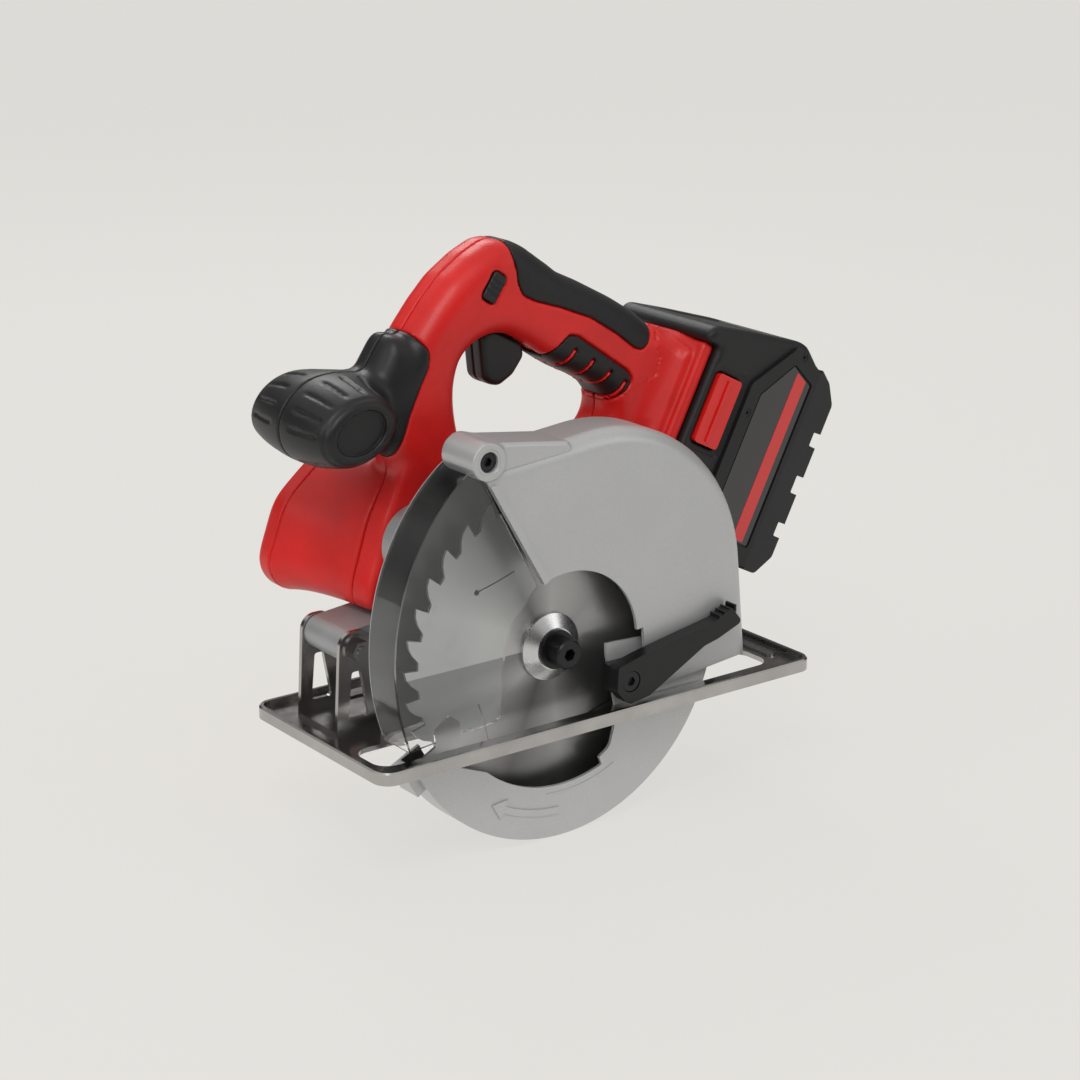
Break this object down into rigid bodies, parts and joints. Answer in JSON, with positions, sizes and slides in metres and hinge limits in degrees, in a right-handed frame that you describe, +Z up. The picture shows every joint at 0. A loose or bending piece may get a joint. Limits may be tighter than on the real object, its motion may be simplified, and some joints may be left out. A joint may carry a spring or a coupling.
{
  "type": "circular saw",
  "caption": "Cordless metal-cutting circular saw: guarded blade on a pressed steel shoe, loop handle with front knob and slide-on battery pack.",
  "frame": {"origin": "on the sole plane of the shoe, below the arbor, at the blade's mid-plane", "axes": "+X to the rear of the saw, +Y from the blade to the motor side, +Z up, away from the work"},
  "size_m": [0.322, 0.146, 0.2974],
  "materials": {
    "red_plastic": "satin moulded",
    "black_grip": "matte overmould",
    "black_plastic": "textured",
    "red_button": "semi-gloss",
    "guard_paint": "silver paint",
    "cast_grey": "grey painted casting",
    "clear_plastic": "clear moulding",
    "blade_steel": "ground plate",
    "flange_steel": "turned",
    "black_steel": "black oxide",
    "bright_steel": "bright nickel plate",
    "gear_steel": "hardened",
    "spring_steel": "spring wire",
    "lamination": "stacked laminations",
    "copper": "copper",
    "magnet": "ferrite",
    "carbon": "carbon",
    "cell_wrap": "shrink wrap",
    "board_green": "solder mask"
  },
  "bodies": {
    "saw": {"housing_left": "red_plastic", "housing_right": "red_plastic", "motor_cap": "red_plastic", "housing_screws": "black_steel", "top_grip": "black_grip", "lower_grip": "black_grip", "front_handle_left": "black_grip", "front_handle_right": "black_grip", "trigger_spring": "spring_steel", "switch_body": "black_plastic", "terminal_block": "black_plastic", "motor_can": "lamination", "motor_magnets": "magnet", "brush_holders": "copper", "carbon_brushes": "carbon", "bearings": "gear_steel", "gear_case": "cast_grey", "gear_case_cover": "cast_grey", "spindle_lock_spring": "spring_steel", "upper_guard": "guard_paint", "clear_window": "clear_plastic", "window_screw": "black_steel", "guard_pin": "flange_steel", "lower_guard_spring": "spring_steel", "depth_bolt": "black_steel"},
    "drive": {"spindle": "gear_steel", "drive_gear": "gear_steel", "inner_flange": "flange_steel", "blade": "blade_steel", "outer_flange": "flange_steel", "bolt_washer": "black_steel", "blade_bolt": "black_steel"},
    "second_shaft": {"intermediate_shaft": "gear_steel", "intermediate_gear": "gear_steel"},
    "rotor": {"motor_shaft": "gear_steel", "armature": "lamination", "commutator": "copper", "motor_fan": "black_plastic"},
    "swing_guard": {"lower_guard": "guard_paint", "guard_lever": "black_plastic", "lever_screw": "black_steel"},
    "base": {"shoe": "bright_steel", "shoe_bracket": "bright_steel", "hinge_bolt": "bright_steel", "hinge_nut": "bright_steel", "depth_bracket": "bright_steel"},
    "depth_clamp": {"depth_lever": "black_plastic"},
    "trigger": {"trigger": "black_plastic"},
    "lock_off": {"lock_off_button": "black_plastic"},
    "spindle_lock": {"spindle_lock_button": "black_plastic"},
    "battery": {"battery_case": "black_plastic", "battery_base": "black_plastic", "side_frames": "black_plastic", "latch_springs": "spring_steel", "battery_cells": "cell_wrap", "battery_board": "board_green", "battery_screws": "black_steel", "cell_carrier": "black_plastic"},
    "latch_left": {"latch_left": "red_button"},
    "latch_right": {"latch_right": "red_button"}
  },
  "joints": [
    {"name": "blade_spin", "type": "hinge", "parent": "saw", "child": "drive", "pos_m": [0, 0, 0.0376], "axis": [0, 1, 0], "continuous": true},
    {"name": "second_shaft_spin", "type": "hinge", "parent": "saw", "child": "second_shaft", "pos_m": [-0.03333, 0, 0.06113], "axis": [0, 1, 0], "continuous": true},
    {"name": "rotor_spin", "type": "hinge", "parent": "saw", "child": "rotor", "pos_m": [-0.05353, 0, 0.09272], "axis": [0, 1, 0], "continuous": true},
    {"name": "lower_guard_swing", "type": "hinge", "parent": "saw", "child": "swing_guard", "pos_m": [0, 0, 0.0376], "axis": [0, -1, 0], "range_deg": [0, 96], "stiffness_Nm_per_rad": 0.12, "springref_deg": -51.57},
    {"name": "depth_hinge", "type": "hinge", "parent": "saw", "child": "base", "pos_m": [-0.094, 0, 0.047], "axis": [0, 1, 0], "range_deg": [0, 22]},
    {"name": "depth_clamp_turn", "type": "hinge", "parent": "saw", "child": "depth_clamp", "pos_m": [0.05216, 0, 0.01326], "axis": [0, -1, 0], "range_deg": [0, 35]},
    {"name": "trigger_pull", "type": "slide", "parent": "saw", "child": "trigger", "axis": [0.887, 0, -0.4617], "range_m": [0, 0.006], "stiffness_N_per_m": 700, "springref_m": -0.006, "deforming": ["trigger_spring"]},
    {"name": "lock_off_press", "type": "slide", "parent": "saw", "child": "lock_off", "axis": [0, 1, 0], "range_m": [0, 0.003], "stiffness_N_per_m": 400, "springref_m": -0.004},
    {"name": "spindle_lock_press", "type": "slide", "parent": "saw", "child": "spindle_lock", "axis": [0, -1, 0], "range_m": [0, 0.004], "stiffness_N_per_m": 500, "springref_m": -0.003, "deforming": ["spindle_lock_spring"]},
    {"name": "battery_release", "type": "slide", "parent": "saw", "child": "battery", "axis": [0.4617, 0, 0.887], "range_m": [0, 0.09]},
    {"name": "latch_left_press", "type": "slide", "parent": "battery", "child": "latch_left", "axis": [0, 1, 0], "range_m": [0, 0.0025], "stiffness_N_per_m": 500, "springref_m": -0.003, "deforming": ["latch_springs"]},
    {"name": "latch_right_press", "type": "slide", "parent": "battery", "child": "latch_right", "axis": [0, -1, 0], "range_m": [0, 0.0025], "stiffness_N_per_m": 500, "springref_m": -0.003, "deforming": ["latch_springs"]}
  ],
  "couplings": [
    {"joint": "second_shaft_spin", "follows": "blade_spin", "ratio": -2.4286},
    {"joint": "rotor_spin", "follows": "blade_spin", "ratio": 7.6905}
  ]
}
